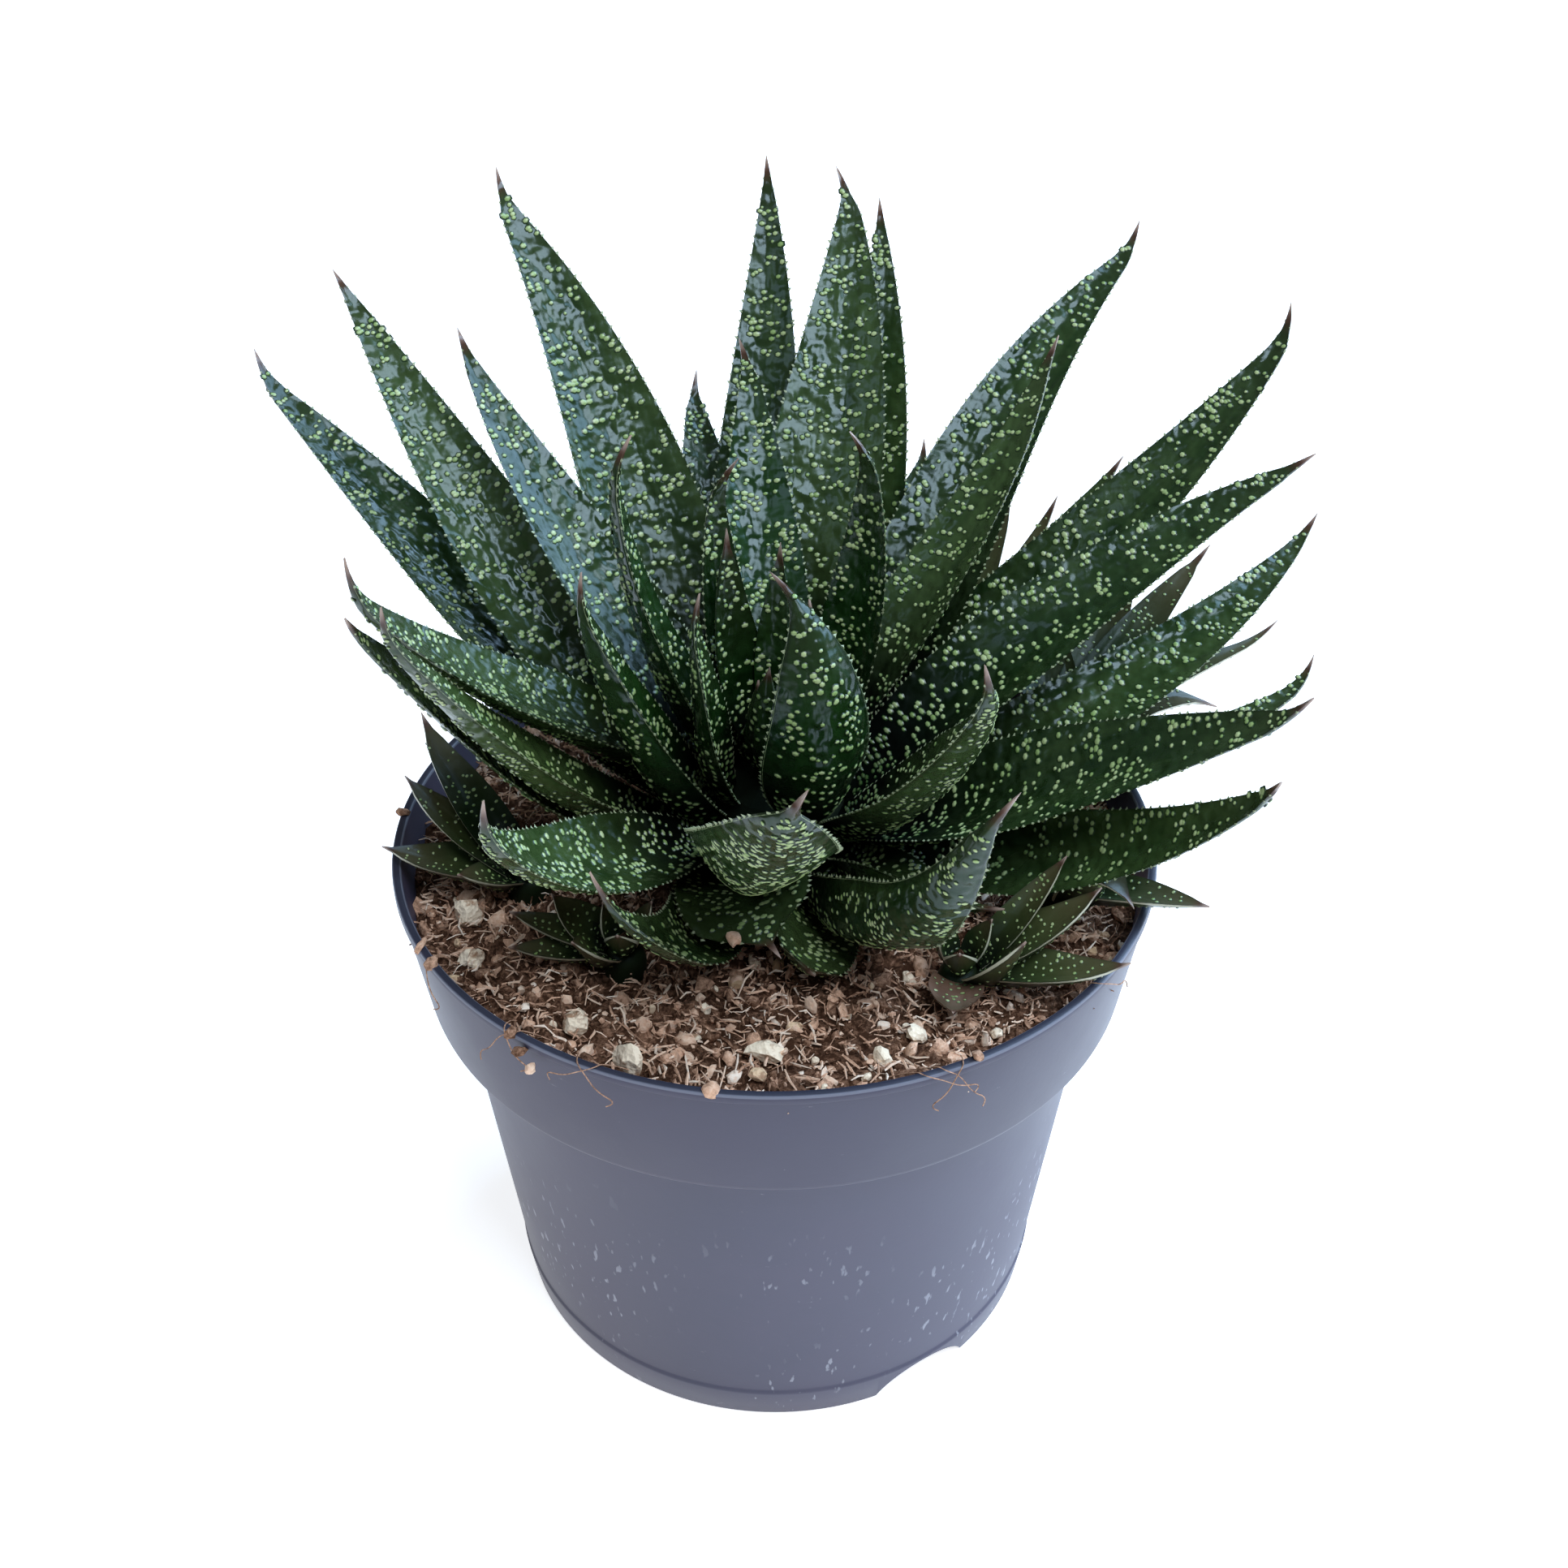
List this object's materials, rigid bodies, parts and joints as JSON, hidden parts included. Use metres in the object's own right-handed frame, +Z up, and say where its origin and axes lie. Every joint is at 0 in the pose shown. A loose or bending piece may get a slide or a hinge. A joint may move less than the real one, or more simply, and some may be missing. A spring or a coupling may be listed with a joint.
{
  "type": "potted succulent plant",
  "caption": "Potted gasteria: a rosette of stiff, pointed, keeled leaves with pale raised spots and finely toothed margins, and small offsets, in gritty soil in a round plastic nursery pot.",
  "frame": {"origin": "middle of the pot's base, on the surface that it stands on", "axes": "+Z up along the pot's axis; -Y is the front, with the short leaves and most of the bare soil; +X to the right seen from the front"},
  "size_m": [0.1764, 0.1438, 0.17],
  "materials": {
    "pot_plastic": "moulded bluish-grey polypropylene with a soft sheen and small scuffs",
    "soil": "dry brown peat and fibre potting mix with pale grit; wood stands in for its low density",
    "leaf": null,
    "young_leaf": "satin green to brown-green leaf skin of the offsets with small pale spots",
    "heart": "dark green youngest leaves with pale spots",
    "stem": "pale green hidden main stem"
  },
  "bodies": {
    "root": {"pot": "pot_plastic", "soil": "soil", "crown": "stem", "leaf_01": "leaf", "leaf_02": "leaf", "leaf_03": "leaf", "leaf_04": "leaf", "leaf_05": "leaf", "leaf_06": "leaf", "leaf_07": "leaf", "leaf_08": "leaf", "leaf_09": "leaf", "leaf_10": "leaf", "leaf_11": "leaf", "leaf_12": "leaf", "leaf_13": "leaf", "leaf_14": "leaf", "leaf_15": "leaf", "leaf_16": "leaf", "leaf_17": "leaf", "leaf_18": "leaf", "leaf_19": "leaf", "leaf_20": "leaf", "leaf_21": "leaf", "leaf_22": "leaf", "leaf_23": "leaf", "leaf_24": "leaf", "leaf_25": "leaf", "leaf_26": "leaf", "leaf_27": "leaf", "leaf_28": "leaf", "leaf_29": "leaf", "leaf_30": "leaf", "leaf_31": "leaf", "leaf_32": "leaf", "leaf_33": "leaf", "leaf_34": "leaf", "leaf_35": "leaf", "leaf_36": "leaf", "heart": "heart", "offset_left": "young_leaf", "offset_front_left": "young_leaf", "offset_front_right": "young_leaf", "offset_right": "young_leaf", "offset_back_right": "young_leaf", "offset_back": "young_leaf"}
  },
  "joints": []
}
